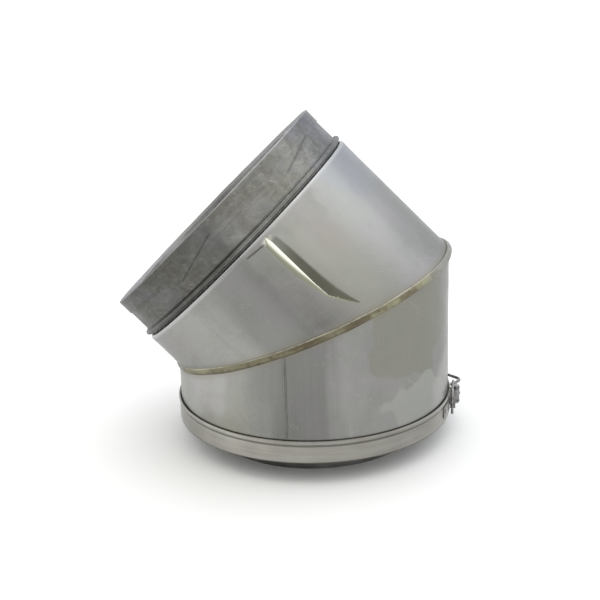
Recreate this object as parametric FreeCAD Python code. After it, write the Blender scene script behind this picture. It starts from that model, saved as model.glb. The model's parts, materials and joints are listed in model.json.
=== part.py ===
import FreeCAD, Part
import math
import os

# A 45 degree twin-wall flue elbow: two mitred casing segments round a mitred liner,
# mineral wool between them, a male collar on top and a latched locking band below.
# Millimetres, +Z up. The lower axis is Z, the origin is the centre of the liner spigot's
# end, and the upper axis leans 45 degrees towards -X.

Vector = FreeCAD.Vector

# --- driving dimensions -------------------------------------------------------------
sheet = 0.6                  # casing, collar and ring sheet
liner_wall = 0.8
bore_radius = 75.0           # 150 mm flue
casing_radius = 100.0        # 200 mm outside
bend_angle = 45.0

spigot_drop = 21.5           # liner spigot below the lower casing's end
centre_height = 98.33        # where the two axes cross
upper_casing_length = 69.45  # from the crossing to the upper casing's end
collar_length = 33.5         # beyond the upper casing's end
collar_radius = 97.0
collar_lap = 14.0            # collar inside the casing
rim_radius = 97.7            # swaged-out zone at the collar's open end
rim_zone = 11.5
rim_step = 1.0
shoulder_radius = 2.9

stop_bead_start = 1.5        # above the upper casing's end
stop_bead_radius = 1.5
stop_bead_height = 3.25      # how far the bead stands out of the collar

socket_clearance = 0.3       # upper liner socket round the next spigot
socket_depth = 51.95
socket_taper = 2.5
socket_recess = 2.0          # socket rim below the collar's rim
cap_recess = 3.0
cap_flange = 6.0

recess_depth = 31.0          # room for the next collar inside the lower casing
ring_flange = 3.0

liner_bead_start = 45.0
liner_bead_length = 6.0
liner_bead_height = 1.6
mitre_bead_radius = 2.25
liner_weld_radius = 1.0
seam_width = 1.8
seam_height = 0.3
casing_seam_angle = -92.0
casing_seam_start = 34.0
liner_seam_angle = 35.0

# The pressed-in crease of the upper casing. Places are along the upper axis from the
# crossing and in degrees round it; a section is (place, one edge, valley, other edge, depth).
crease_top = (65.5, -64.4)
crease_sections = ((60.0, -67.6, -63.6, -60.8, 1.6), (33.0, -67.5, -63.6, -59.8, 1.3),
                   (8.0, -64.6, -63.3, -58.4, 0.9))
crease_tip = (-11.3, -56.8)
crease_rise = 0.3            # how far the pressing tool's edges stand clear of the sheet
crease_margin = 0.4          # degrees that the folded sheet is wider than the tool

band_bottom = 16.0
band_height = 16.7
band_gap_start = 1.2         # degrees round Z
band_gap_end = 4.2
band_radius = 101.2
band_sheet = 0.7
band_flat = 12.0             # height of the flat strip below the rolled one
band_groove = 1.6            # width of the groove between them
band_groove_depth = 0.15
band_roll_out = 0.75

lever_wire = 2.2
bail_wire = 1.8
pivot_angle = 8.0            # lever pivot round Z
pivot_radius = 106.3
pivot_pin_radius = 1.5
pin_head_radius = 2.3
pin_head = 0.8
running = 0.05
throw = 6.5                  # pivot to bail axis
throw_tilt = 15.0            # how far the closed bail axis lies inside the tangent
bar_angle = -2.5
bar_radius = 103.9
knuckle_radius = 2.6
eye_plate = 1.4              # flattened ends of the lever wire
pivot_eye_radius = 2.8
bail_eye_radius = 2.2
gap = 0.3                    # between the knuckle and the lever's eyes
pin_play = 0.1               # between the lever's eyes and the pin's heads
bail_half = 8.4              # leg centre from the latch's middle
bow_out = (15.5, 5.0)        # from the pivot: along the tangent, outward
bow_end = (26.8, -6.0)
bow_radius = 5.0
lever_corner = 2.5
bail_corner = 2.5
bail_hook = 1.5              # where the bail turns into the lever
bracket_sheet = 0.8
bracket_start = 5.0
web_arc = 0.9                # the plate between bracket and knuckle, in degrees
bracket_end = 19.5
bracket_height = 8.6         # also the knuckle's and the keeper's
keeper_start = -13.0
keeper_tab_angle = -1.2
keeper_tab_top = 106.0
keeper_tab = 1.2
rivet_radius = 1.7
rivet_height = 1.1
rivet_round = 0.7
keeper_rivet_angles = (-10.8, -5.6)
bracket_rivet_angles = (13.0, 17.0)

# --- worked out ---------------------------------------------------------------------
liner_radius = bore_radius + liner_wall
socket_radius = liner_radius + socket_clearance + liner_wall
upper_rim = upper_casing_length + collar_length
socket_rim = upper_rim - socket_recess
socket_start = socket_rim - socket_depth
cap_height = upper_rim - cap_recess
ring_height = spigot_drop + recess_depth
latch_middle = band_bottom + band_height / 2
plate_low = latch_middle - bracket_height / 2
plate_high = latch_middle + bracket_height / 2
bail_radius = bail_wire / 2
past_mitre = 60.0            # how far a tube runs past the mitre before it is cut
reach = 300.0                # larger than the elbow

crossing = Vector(0, 0, centre_height)
up = Vector(0, 0, 1)
half_bend = math.radians(bend_angle / 2)
upper_turn = FreeCAD.Placement(crossing, FreeCAD.Rotation(Vector(0, 1, 0), -bend_angle))


# --- helpers ------------------------------------------------------------------------
def point(radius, height):
    return Vector(radius, 0, height)


def polar(radius, angle, height=0.0):
    turn = math.radians(angle)
    return Vector(radius * math.cos(turn), radius * math.sin(turn), height)


def edges_of(steps):
    """Lines through points; a (middle, end) pair in the list is an arc."""
    edges = []
    here = steps[0]
    for step in steps[1:]:
        if isinstance(step, tuple):
            edges.append(Part.Arc(here, step[0], step[1]).toShape())
            here = step[1]
        else:
            edges.append(Part.LineSegment(here, step).toShape())
            here = step
    return edges


def spun(steps, thickness, angle=360.0):
    """A shell of revolution: an outer profile, drawn upwards, thickened to its left."""
    profile = Part.Wire(edges_of(steps))
    sharp_join = 2
    face = profile.makeOffset2D(thickness, sharp_join, True, True)
    return face.revolve(Vector(), up, angle)


def ring(inner, outer, bottom, top):
    disc = Part.makeCylinder(outer, top - bottom, Vector(0, 0, bottom))
    return disc.cut(Part.makeCylinder(inner, top - bottom, Vector(0, 0, bottom)))


def sector(inner, outer, bottom, top, start, end):
    face = Part.Face(Part.makePolygon([
        point(inner, bottom), point(outer, bottom), point(outer, top), point(inner, top),
        point(inner, bottom)]))
    solid = face.revolve(Vector(), up, end - start)
    solid.rotate(Vector(), up, start)
    return solid


def block_beside_mitre(side):
    """A block that fills everything above (side 1) or below (side -1) the mitre plane."""
    corner = Vector(-reach, -reach, 0 if side > 0 else -reach * 2)
    block = Part.makeBox(reach * 2, reach * 2, reach * 2, corner)
    block.Placement = FreeCAD.Placement(crossing, FreeCAD.Rotation(Vector(0, 1, 0), -bend_angle / 2))
    return block


def lower_part(shape):
    return shape.cut(block_beside_mitre(1))


def upper_part(shape):
    """Turns a shape from the upper segment's own frame and cuts it at the mitre."""
    turned = shape.copy()
    turned.Placement = upper_turn.multiply(turned.Placement)
    return turned.cut(block_beside_mitre(-1))


def mitred_cylinder(radius):
    lower = lower_part(Part.makeCylinder(radius, reach))
    upper = upper_part(Part.makeCylinder(radius, reach, Vector(0, 0, -past_mitre)))
    return lower.fuse(upper)


def mitre_hoop(radius, bead):
    """A round bead along the ellipse where two mitred tubes of one radius meet."""
    wide = Vector(math.cos(half_bend), 0, math.sin(half_bend))
    ellipse = Part.Ellipse(crossing + wide * (radius / math.cos(half_bend)),
                           crossing + Vector(0, radius, 0), crossing)
    path = Part.Wire(ellipse.toShape())
    start = ellipse.value(0)
    section = Part.Wire(Part.Circle(start, ellipse.tangent(0)[0], bead).toShape())
    return path.makePipeShell([section], True, True)


def latch_place(along, outward, height=0.0):
    """A place beside the lever's pivot, along the tangent and outward."""
    tangent = polar(1, pivot_angle + 90)
    return polar(pivot_radius, pivot_angle, height) + tangent * along + polar(outward, pivot_angle)


def wire_through(corners, radii):
    """Straight runs through the corners, joined by tangent arcs of the given radii."""
    edges = []
    here = corners[0]
    for index, radius in enumerate(radii):
        corner = corners[index + 1]
        back = (corners[index] - corner).normalize()
        on = (corners[index + 2] - corner).normalize()
        half_angle = back.getAngle(on) / 2
        cut = radius / math.tan(half_angle)
        start = corner + back * cut
        end = corner + on * cut
        bisector = (back + on).normalize()
        middle = corner + bisector * (radius / math.sin(half_angle) - radius)
        edges.append(Part.LineSegment(here, start).toShape())
        edges.append(Part.Arc(start, middle, end).toShape())
        here = end
    edges.append(Part.LineSegment(here, corners[-1]).toShape())
    return Part.Wire(edges)


def round_wire(corners, radii, diameter):
    path = wire_through(corners, radii)
    direction = corners[1] - corners[0]
    section = Part.Wire(Part.Circle(corners[0], direction, diameter / 2).toShape())
    return path.makePipeShell([section], True, True)


def at_height(place, height):
    return Vector(place.x, place.y, height)


def upright(place, radius, bottom, top):
    return Part.makeCylinder(radius, top - bottom, Vector(place.x, place.y, bottom))


def joined(shapes):
    whole = shapes[0]
    for shape in shapes[1:]:
        whole = whole.fuse(shape)
    return whole.removeSplitter()


# --- casing -------------------------------------------------------------------------
def outer_casing_lower():
    return lower_part(ring(casing_radius - sheet, casing_radius, spigot_drop, reach))


def crease(deeper=0.0, wider=0.0):
    """A three-sided bar with pointed ends, which the upper casing's sheet is pressed round."""
    edge_radius = casing_radius + crease_rise - deeper

    def pointed(place):
        along, angle = place
        return polar(casing_radius - deeper, angle, along)

    sections = []
    for along, left, valley, right, depth in crease_sections:
        sections.append((polar(edge_radius, left - wider, along),
                         polar(casing_radius - depth - deeper, valley, along),
                         polar(edge_radius, right + wider, along)))
    corners = []
    for one, two in ((0, 1), (1, 2), (2, 0)):
        corners.append((pointed(crease_top), sections[0][two], sections[0][one]))
        corners.append((pointed(crease_tip), sections[-1][one], sections[-1][two]))
        for here, there in zip(sections, sections[1:]):
            corners.append((here[one], here[two], there[two]))
            corners.append((here[one], there[two], there[one]))
    faces = [Part.Face(Part.makePolygon([*three, three[0]])) for three in corners]
    return Part.makeSolid(Part.makeShell(faces))


def crease_fold():
    """The sheet behind the crease, up to the middle of the casing's own sheet."""
    fold = crease(sheet, crease_margin)
    return fold.common(Part.makeCylinder(casing_radius - sheet / 2, reach, Vector(0, 0, -past_mitre)))


def outer_casing_upper():
    turn = shoulder_radius * math.sqrt(0.5)
    centre = casing_radius - shoulder_radius
    edge = upper_casing_length - shoulder_radius
    shell = spun([
        point(casing_radius, -past_mitre),
        point(casing_radius, edge),
        (point(centre + turn, edge + turn), point(centre, upper_casing_length)),
    ], sheet)
    return upper_part(shell.fuse(crease_fold()).cut(crease()))


def mitre_seam_bead():
    return mitre_hoop(casing_radius, mitre_bead_radius).cut(mitred_cylinder(casing_radius))


def lower_casing_seam():
    half_angle = math.degrees(seam_width / casing_radius / 2)
    seam = sector(casing_radius, casing_radius + seam_height, casing_seam_start, reach,
                  casing_seam_angle - half_angle, casing_seam_angle + half_angle)
    return lower_part(seam).cut(mitre_hoop(casing_radius, mitre_bead_radius))


# --- top end ------------------------------------------------------------------------
def top_coupling_collar():
    bead_low = upper_casing_length + stop_bead_start
    bead_high = bead_low + 2 * stop_bead_radius
    bead_root = collar_radius + stop_bead_height - stop_bead_radius
    collar = spun([
        point(collar_radius, upper_casing_length - collar_lap),
        point(collar_radius, bead_low),
        point(bead_root, bead_low),
        (point(bead_root + stop_bead_radius, bead_low + stop_bead_radius), point(bead_root, bead_high)),
        point(collar_radius, bead_high),
        point(collar_radius, upper_rim - rim_zone - rim_step),
        point(rim_radius, upper_rim - rim_zone),
        point(rim_radius, upper_rim),
    ], sheet)
    return upper_part(collar)


def top_closing_ring():
    outer = rim_radius - sheet
    cap = spun([
        point(outer, cap_height - cap_flange),
        point(outer, cap_height),
        point(socket_radius, cap_height),
        point(socket_radius, cap_height - cap_flange),
    ], sheet)
    return upper_part(cap)


# --- bottom end ---------------------------------------------------------------------
def recess_closing_ring():
    return spun([
        point(liner_radius, ring_height + ring_flange),
        point(liner_radius, ring_height),
        point(casing_radius - sheet, ring_height),
        point(casing_radius - sheet, ring_height + ring_flange),
    ], sheet)


# --- liner --------------------------------------------------------------------------
def inner_liner_lower():
    bead_end = liner_bead_start + liner_bead_length
    bead_middle = liner_bead_start + liner_bead_length / 2
    liner = spun([
        point(liner_radius, 0),
        point(liner_radius, liner_bead_start),
        (point(liner_radius + liner_bead_height, bead_middle), point(liner_radius, bead_end)),
        point(liner_radius, centre_height + past_mitre),
    ], liner_wall)
    return lower_part(liner)


def inner_liner_upper():
    liner = spun([
        point(liner_radius, -past_mitre),
        point(liner_radius, socket_start - socket_taper),
        point(socket_radius, socket_start),
        point(socket_radius, socket_rim),
    ], liner_wall)
    return upper_part(liner)


def liner_mitre_weld():
    return mitre_hoop(liner_radius, liner_weld_radius).cut(mitred_cylinder(liner_radius))


def inner_liner_seam():
    half_angle = math.degrees(seam_width / liner_radius / 2)
    seam = sector(liner_radius, liner_radius + seam_height, ring_height + 2 * ring_flange, reach,
                  liner_seam_angle - half_angle, liner_seam_angle + half_angle)
    return lower_part(seam).cut(mitre_hoop(liner_radius, liner_weld_radius))


# --- insulation ---------------------------------------------------------------------
def insulation_lower(inside):
    wool = ring(liner_radius, casing_radius - sheet, ring_height + sheet, reach)
    return cleared(lower_part(wool), inside)


def insulation_upper(inside):
    wool = ring(liner_radius, casing_radius - sheet, -past_mitre, upper_casing_length - shoulder_radius)
    neck = ring(liner_radius, collar_radius - sheet, 0, cap_height - sheet)
    return cleared(upper_part(wool.fuse(neck)), inside + [upper_part(crease_fold())])


def cleared(wool, inside):
    for shape in inside:
        wool = wool.cut(shape)
    return max(wool.Solids, key=lambda solid: solid.Volume)


# --- locking band -------------------------------------------------------------------
def locking_band_strap():
    top = band_bottom + band_height
    flat_top = band_bottom + band_flat
    groove_middle = flat_top + band_groove / 2
    roll_low = flat_top + band_groove
    roll_middle = (roll_low + top) / 2
    strap = spun([
        point(band_radius, band_bottom),
        point(band_radius, flat_top),
        point(band_radius - band_groove_depth, groove_middle),
        point(band_radius, roll_low),
        (point(band_radius + band_roll_out, roll_middle), point(band_radius, top)),
    ], band_sheet, 360 - band_gap_end + band_gap_start)
    strap.rotate(Vector(), up, band_gap_end)
    return strap


def plate_on_band(outer, start, end):
    return sector(band_radius, outer, plate_low, plate_high, start, end)


def keeper_plate():
    half_tab = math.degrees(keeper_tab / bar_radius / 2)
    base = plate_on_band(band_radius + bracket_sheet, keeper_start, keeper_tab_angle + half_tab)
    tab = plate_on_band(keeper_tab_top, keeper_tab_angle - half_tab, keeper_tab_angle + half_tab)
    return joined([base, tab])


def latch_bracket():
    pivot = latch_place(0, 0)
    base = plate_on_band(band_radius + bracket_sheet, bracket_start, bracket_end)
    knuckle_side = pivot_angle - math.degrees(knuckle_radius / pivot_radius)
    web = plate_on_band(pivot_radius, knuckle_side, knuckle_side + web_arc)
    knuckle = upright(pivot, knuckle_radius, plate_low, plate_high)
    return joined([base, web, knuckle]).cut(upright(pivot, pivot_pin_radius, 0, reach))


def rivets(angles):
    face = band_radius + bracket_sheet
    foot = Vector(face - rivet_height, 0, latch_middle)
    head = Part.makeCylinder(rivet_radius, 2 * rivet_height, foot, Vector(1, 0, 0))
    crown = [edge for edge in head.Edges if edge.CenterOfMass.x > face]
    head = head.makeFillet(rivet_round, crown).cut(Part.makeCylinder(face, reach))
    heads = []
    for angle in angles:
        one = head.copy()
        one.rotate(Vector(), up, angle)
        heads.append(one)
    return Part.makeCompound(heads)


# --- latch --------------------------------------------------------------------------
def bail_place():
    tilt = math.radians(throw_tilt)
    return latch_place(throw * math.cos(tilt), -throw * math.sin(tilt))


def lever_eye_levels():
    high = plate_high + gap
    low = plate_low - gap
    return (high, high + eye_plate), (low - eye_plate, low)


def over_centre_lever():
    pivot = latch_place(0, 0)
    bail_axis = bail_place()
    pieces = []
    levels = lever_eye_levels()
    for low, high in levels:
        eye = upright(pivot, pivot_eye_radius, low, high)
        second = upright(bail_axis, bail_eye_radius, low, high)
        across = (bail_axis - pivot).normalize()
        side = Vector(-across.y, across.x, 0) * bail_eye_radius
        corners = [pivot + side, bail_axis + side, bail_axis - side, pivot - side, pivot + side]
        web = Part.Face(Part.makePolygon([at_height(corner, low) for corner in corners]))
        pieces += [eye, second, web.extrude(up * (high - low))]
    top = sum(levels[0]) / 2
    bottom = sum(levels[1]) / 2
    loop = [at_height(bail_axis, top), latch_place(*bow_out, top), latch_place(*bow_end, top),
            latch_place(*bow_end, bottom), latch_place(*bow_out, bottom), at_height(bail_axis, bottom)]
    pieces.append(round_wire(loop, [bow_radius, lever_corner, lever_corner, bow_radius], lever_wire))
    lever = joined(pieces)
    lever = lever.cut(upright(pivot, pivot_pin_radius + running, 0, reach))
    return lever.cut(upright(bail_axis, bail_radius + running, 0, reach))


def lever_pivot_pin():
    (_, high), (low, _) = lever_eye_levels()
    top = high + pin_play
    bottom = low - pin_play
    pivot = latch_place(0, 0)
    shank = upright(pivot, pivot_pin_radius, bottom, top)
    top_head = upright(pivot, pin_head_radius, top, top + pin_head)
    bottom_head = upright(pivot, pin_head_radius, bottom - pin_head, bottom)
    return joined([shank, top_head, bottom_head])


def draw_bail():
    axis = bail_place()
    bar = polar(bar_radius, bar_angle)
    top = latch_middle + bail_half
    bottom = latch_middle - bail_half
    (top_end, _), (_, bottom_end) = lever_eye_levels()
    corners = [at_height(axis, top_end), at_height(axis, top), at_height(bar, top),
               at_height(bar, bottom), at_height(axis, bottom), at_height(axis, bottom_end)]
    return round_wire(corners, [bail_hook, bail_corner, bail_corner, bail_hook], bail_wire)


# --- the whole elbow ----------------------------------------------------------------
def elbow():
    liner_parts = [inner_liner_lower(), inner_liner_upper(), liner_mitre_weld(), inner_liner_seam()]
    rings = [recess_closing_ring(), top_closing_ring(), top_coupling_collar()]
    return {
        "outer_casing_lower": outer_casing_lower(),
        "outer_casing_upper": outer_casing_upper(),
        "mitre_seam_bead": mitre_seam_bead(),
        "lower_casing_seam": lower_casing_seam(),
        "top_coupling_collar": top_coupling_collar(),
        "top_closing_ring": top_closing_ring(),
        "recess_closing_ring": recess_closing_ring(),
        "inner_liner_lower": inner_liner_lower(),
        "inner_liner_upper": inner_liner_upper(),
        "liner_mitre_weld": liner_mitre_weld(),
        "inner_liner_seam": inner_liner_seam(),
        "insulation_lower": insulation_lower(liner_parts + rings),
        "insulation_upper": insulation_upper(liner_parts + rings),
        "locking_band_strap": locking_band_strap(),
        "keeper_plate": keeper_plate(),
        "keeper_rivets": rivets(keeper_rivet_angles),
        "latch_bracket": latch_bracket(),
        "bracket_rivets": rivets(bracket_rivet_angles),
        "lever_pivot_pin": lever_pivot_pin(),
        "over_centre_lever": over_centre_lever(),
        "draw_bail": draw_bail(),
    }


os.makedirs("parts", exist_ok=True)
for name, shape in elbow().items():
    print(f"{name:24s} solids {len(shape.Solids)} valid {shape.isValid()} "
          f"volume {shape.Volume / 1000:.2f} cm3")
    shape.exportStep(f"parts/{name}.step")
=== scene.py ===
import json
import math

import bpy
from mathutils import Matrix, Vector, noise


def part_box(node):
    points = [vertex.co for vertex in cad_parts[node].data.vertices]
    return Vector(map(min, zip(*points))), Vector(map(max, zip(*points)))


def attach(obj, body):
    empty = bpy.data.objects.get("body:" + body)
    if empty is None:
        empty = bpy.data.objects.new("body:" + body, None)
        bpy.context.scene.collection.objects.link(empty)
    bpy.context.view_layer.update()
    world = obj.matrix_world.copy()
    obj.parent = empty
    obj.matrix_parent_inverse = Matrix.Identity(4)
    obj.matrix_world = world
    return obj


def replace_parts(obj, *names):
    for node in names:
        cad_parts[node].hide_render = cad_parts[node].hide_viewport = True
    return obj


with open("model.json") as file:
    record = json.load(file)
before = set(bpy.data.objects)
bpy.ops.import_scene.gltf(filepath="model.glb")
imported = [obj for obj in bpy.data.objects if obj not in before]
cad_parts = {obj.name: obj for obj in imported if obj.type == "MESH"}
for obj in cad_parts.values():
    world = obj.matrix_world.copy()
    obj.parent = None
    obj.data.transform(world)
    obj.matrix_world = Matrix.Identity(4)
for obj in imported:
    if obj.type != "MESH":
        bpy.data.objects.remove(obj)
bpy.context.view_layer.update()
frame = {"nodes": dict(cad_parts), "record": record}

# Lengths are in metres; sizes given in millimetres are multiplied by MM.
MM = 0.001
TURN = 2 * math.pi


# --- sizes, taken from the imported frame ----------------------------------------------
mounts = {mount["name"]: mount for mount in frame["record"]["mounts"]}


def low(node):
    return Vector(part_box(node)[0])


def high(node):
    return Vector(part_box(node)[1])


upper_axis = Vector(mounts["coupling_collar"]["axis"]).normalized()
collar_place = Vector(mounts["coupling_collar"]["pos_m"])
rim_zone = mounts["coupling_collar"]["dims"]["length_mm"] * MM
rim_radius = mounts["coupling_collar"]["dims"]["r_mm"] * MM
liner_radius = mounts["liner_spigot"]["dims"]["r_mm"] * MM
casing_radius = (high("outer_casing_lower").x - low("outer_casing_lower").x) / 2
casing_bottom = low("outer_casing_lower").z
band_bottom = low("locking_band_strap").z
band_top = high("locking_band_strap").z
crossing = Vector((0, 0, collar_place.z + collar_place.x))
bend = math.acos(upper_axis.z)
mitre_slope = math.tan(bend / 2)
collar_end = (collar_place - crossing).length + rim_zone / 2
casing_end = collar_end - 33.5 * MM      # the upper casing's shoulder ends here
collar_start = casing_end - 14 * MM      # the collar laps inside the casing
collar_radius = rim_radius - 0.7 * MM
sheet = 0.6 * MM

# from the upper segment's own frame, whose Z is the leaning axis, to the elbow's
upper_frame = Matrix.Translation(crossing) @ Matrix.Rotation(-bend, 4, "Y")
lower_frame = Matrix.Identity(4)


def round_mm(degrees):
    """How far round the casing an angle is, in millimetres."""
    return math.radians(degrees) * casing_radius / MM


# --- mesh helpers --------------------------------------------------------------------
def make_piece(name, body, material, vertices, faces):
    mesh = bpy.data.meshes.new(name)
    mesh.from_pydata(vertices, [], faces)
    mesh.validate()
    mesh.polygons.foreach_set("use_smooth", [True] * len(mesh.polygons))
    mesh.update()
    mesh.materials.append(material)
    piece = bpy.data.objects.new(name, mesh)
    bpy.context.scene.collection.objects.link(piece)
    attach(piece, body)
    return piece


def grid_faces(rows, columns, closed_columns=True):
    """Quads over a grid of points whose rows close, with caps where the columns don't."""
    faces = []
    for row in range(rows):
        next_row = (row + 1) % rows
        for column in range(columns if closed_columns else columns - 1):
            next_column = (column + 1) % columns
            faces.append((row * columns + column, row * columns + next_column,
                          next_row * columns + next_column, next_row * columns + column))
    if not closed_columns:
        faces.append([row * columns for row in range(rows)])
        faces.append([row * columns + columns - 1 for row in reversed(range(rows))])
    return faces


def even(start, end, count):
    return [start + (end - start) * index / count for index in range(count + 1)]


def arc(centre, radius, start, end, count):
    """Points of a profile's arc: (radius, along) pairs between two angles in degrees."""
    points = []
    for angle in even(math.radians(start), math.radians(end), count):
        points.append((centre[0] + radius * math.cos(angle), centre[1] + radius * math.sin(angle)))
    return points


def stretch(start, end, count):
    """Evenly spaced profile points from one (radius, along) pair to another."""
    radii = even(start[0], end[0], count)
    places = even(start[1], end[1], count)
    return list(zip(radii, places))


def spun(name, body, material, profile, angles, turned, shift, closed=True):
    """A closed profile turned about an axis. shift(angle, radius, along) says how far each
    point moves outward and along; turned is the segment's frame."""
    vertices = []
    for radius, along in profile:
        for angle in angles:
            outward, onward = shift(angle, radius, along)
            distance = radius + outward
            place = Vector((distance * math.cos(angle), distance * math.sin(angle), along + onward))
            vertices.append(turned @ place)
    faces = grid_faces(len(profile), len(angles), closed_columns=closed)
    return make_piece(name, body, material, vertices, faces)


def all_round(count):
    return even(0, TURN, count)[:-1]


def waves(angle, along, seed, size):
    """A smooth value about -1 to 1 on a cylinder, from noise of the given size in metres."""
    place = Vector((math.cos(angle) * casing_radius, math.sin(angle) * casing_radius, along))
    return noise.noise(place / size + Vector((seed, 2.7 * seed, 0.3 * seed)))


def blend_between(value, start, end):
    """0 at start, 1 at end, smooth between."""
    ratio = min(max((value - start) / (end - start), 0), 1)
    return ratio * ratio * (3 - 2 * ratio)


# --- material helpers ----------------------------------------------------------------
class Nodes:
    """A material's node tree, with one short call per kind of node."""

    def __init__(self, name):
        self.material = bpy.data.materials.new(name)
        self.material.use_nodes = True
        self.tree = self.material.node_tree
        self.shader = self.tree.nodes["Principled BSDF"]

    def add(self, kind, **settings):
        node = self.tree.nodes.new(kind)
        for key, value in settings.items():
            setattr(node, key, value)
        return node

    def link(self, output, socket):
        self.tree.links.new(output, socket)

    def put(self, value, socket):
        """Links a socket, or sets a plain number or colour."""
        if isinstance(value, bpy.types.NodeSocket):
            self.link(value, socket)
        else:
            socket.default_value = value

    def math(self, operation, first, second=0.0):
        node = self.add("ShaderNodeMath", operation=operation)
        self.put(first, node.inputs[0])
        self.put(second, node.inputs[1])
        return node.outputs[0]

    def place(self, turned):
        """The surface point in a segment's own frame, in millimetres."""
        point = self.add("ShaderNodeTexCoord").outputs["Object"]
        if turned is upper_frame:
            back = self.add("ShaderNodeVectorRotate", rotation_type="Y_AXIS")
            back.inputs["Center"].default_value = crossing
            back.inputs["Angle"].default_value = bend
            self.link(point, back.inputs["Vector"])
            point = self.minus(back.outputs[0], crossing)
        return self.scaled(point, (1 / MM, 1 / MM, 1 / MM))

    def minus(self, vector, place):
        node = self.add("ShaderNodeVectorMath", operation="SUBTRACT")
        self.link(vector, node.inputs[0])
        node.inputs[1].default_value = place
        return node.outputs[0]

    def dot(self, vector, direction):
        node = self.add("ShaderNodeVectorMath", operation="DOT_PRODUCT")
        self.link(vector, node.inputs[0])
        node.inputs[1].default_value = direction
        return node.outputs["Value"]

    def scaled(self, vector, by):
        node = self.add("ShaderNodeVectorMath", operation="MULTIPLY")
        self.link(vector, node.inputs[0])
        node.inputs[1].default_value = by
        return node.outputs[0]

    def noise(self, vector, size, detail=3.0, roughness=0.5, distortion=0.0):
        """Noise whose features are about size millimetres; size may be three sizes."""
        sizes = size if isinstance(size, tuple) else (size, size, size)
        node = self.add("ShaderNodeTexNoise")
        self.link(self.scaled(vector, [1 / one for one in sizes]), node.inputs["Vector"])
        node.inputs["Scale"].default_value = 1.0
        node.inputs["Detail"].default_value = detail
        node.inputs["Roughness"].default_value = roughness
        node.inputs["Distortion"].default_value = distortion
        return node.outputs["Fac"]

    def cells(self, vector, size):
        """A colour for each of the cells, which are about size millimetres across."""
        node = self.add("ShaderNodeTexVoronoi")
        self.link(self.scaled(vector, [1 / size] * 3), node.inputs["Vector"])
        node.inputs["Scale"].default_value = 1.0
        return node.outputs["Color"]

    def spread(self, value, start, end, low_value=0.0, high_value=1.0):
        """Maps start..end to low..high, smoothly and held at both ends."""
        node = self.add("ShaderNodeMapRange", interpolation_type="SMOOTHSTEP")
        self.put(value, node.inputs["Value"])
        node.inputs["From Min"].default_value = start
        node.inputs["From Max"].default_value = end
        node.inputs["To Min"].default_value = low_value
        node.inputs["To Max"].default_value = high_value
        return node.outputs["Result"]

    def mix(self, factor, first, second, kind="MIX"):
        node = self.add("ShaderNodeMix", data_type="RGBA", blend_type=kind)
        self.put(factor, node.inputs["Factor"])
        self.put(first, node.inputs["A"])
        self.put(second, node.inputs["B"])
        return node.outputs["Result"]

    def parts_of(self, vector):
        """A vector's X, Y and Z."""
        parts = self.add("ShaderNodeSeparateXYZ")
        self.link(vector, parts.inputs[0])
        return parts.outputs["X"], parts.outputs["Y"], parts.outputs["Z"]

    def grey_of(self, level):
        """A grey colour from a changing level."""
        shade = self.add("ShaderNodeCombineColor")
        for channel in shade.inputs:
            self.link(level, channel)
        return shade.outputs[0]

    def bump(self, height, strength, distance, normal=None):
        node = self.add("ShaderNodeBump")
        node.inputs["Strength"].default_value = strength
        node.inputs["Distance"].default_value = distance * MM
        self.link(height, node.inputs["Height"])
        if normal:
            self.link(normal, node.inputs["Normal"])
        return node.outputs["Normal"]

    def finish(self, colour, roughness, normal, metallic=1.0, edge_tint=1.0):
        """Feeds the shader. An edge_tint below 1 dims the metal where it is seen edge on."""
        self.put(colour, self.shader.inputs["Base Color"])
        self.put((edge_tint, edge_tint, edge_tint, 1.0), self.shader.inputs["Specular Tint"])
        self.put(roughness, self.shader.inputs["Roughness"])
        self.put(metallic, self.shader.inputs["Metallic"])
        if normal:
            self.link(normal, self.shader.inputs["Normal"])
        return self.material


def grey(level, warm=0.0, cool=0.0):
    """A near-grey colour, a little warmer or cooler."""
    return (level * (1 + warm), level, level * (1 - warm + cool), 1.0)


def unrolled(nodes, place):
    """The surface rolled out flat: millimetres round it, then along it. It joins at -X."""
    x, y, along = nodes.parts_of(place)
    turn = nodes.math("ARCTAN2", y, x)
    flat = nodes.add("ShaderNodeCombineXYZ")
    nodes.link(nodes.math("MULTIPLY", turn, casing_radius / MM), flat.inputs["X"])
    nodes.link(along, flat.inputs["Y"])
    return flat.outputs[0]


def scratches(nodes, flat, tilt, length, apart, width):
    """Long, nearly straight scratches: where stretched noise on the flat crosses its middle."""
    tilted = nodes.add("ShaderNodeVectorRotate", rotation_type="Z_AXIS")
    nodes.link(flat, tilted.inputs["Vector"])
    tilted.inputs["Angle"].default_value = math.radians(tilt)
    value = nodes.noise(tilted.outputs[0], (length, apart, 1.0), detail=1.0)
    off_middle = nodes.math("ABSOLUTE", nodes.math("SUBTRACT", value, 0.5))
    return nodes.spread(off_middle, 0.0, width, 1.0, 0.0)


def drawn_line(nodes, flat, start, end, width):
    """1 on a line between two places, (degrees round, millimetres along), 0 beside it."""
    first = Vector((round_mm(start[0]), start[1], 0))
    run = Vector((round_mm(end[0]), end[1], 0)) - first
    half = run.length / 2
    offset = nodes.minus(flat, first)
    along = nodes.dot(offset, run.normalized())
    beside = nodes.dot(offset, Vector((-run.y, run.x, 0)).normalized())
    off_middle = nodes.math("ABSOLUTE", nodes.math("SUBTRACT", along, half))
    within = nodes.spread(off_middle, half - 2, half + 1, 1.0, 0.0)
    near = nodes.spread(nodes.math("ABSOLUTE", beside), width * 0.3, width, 1.0, 0.0)
    return nodes.math("MULTIPLY", within, near)


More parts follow.
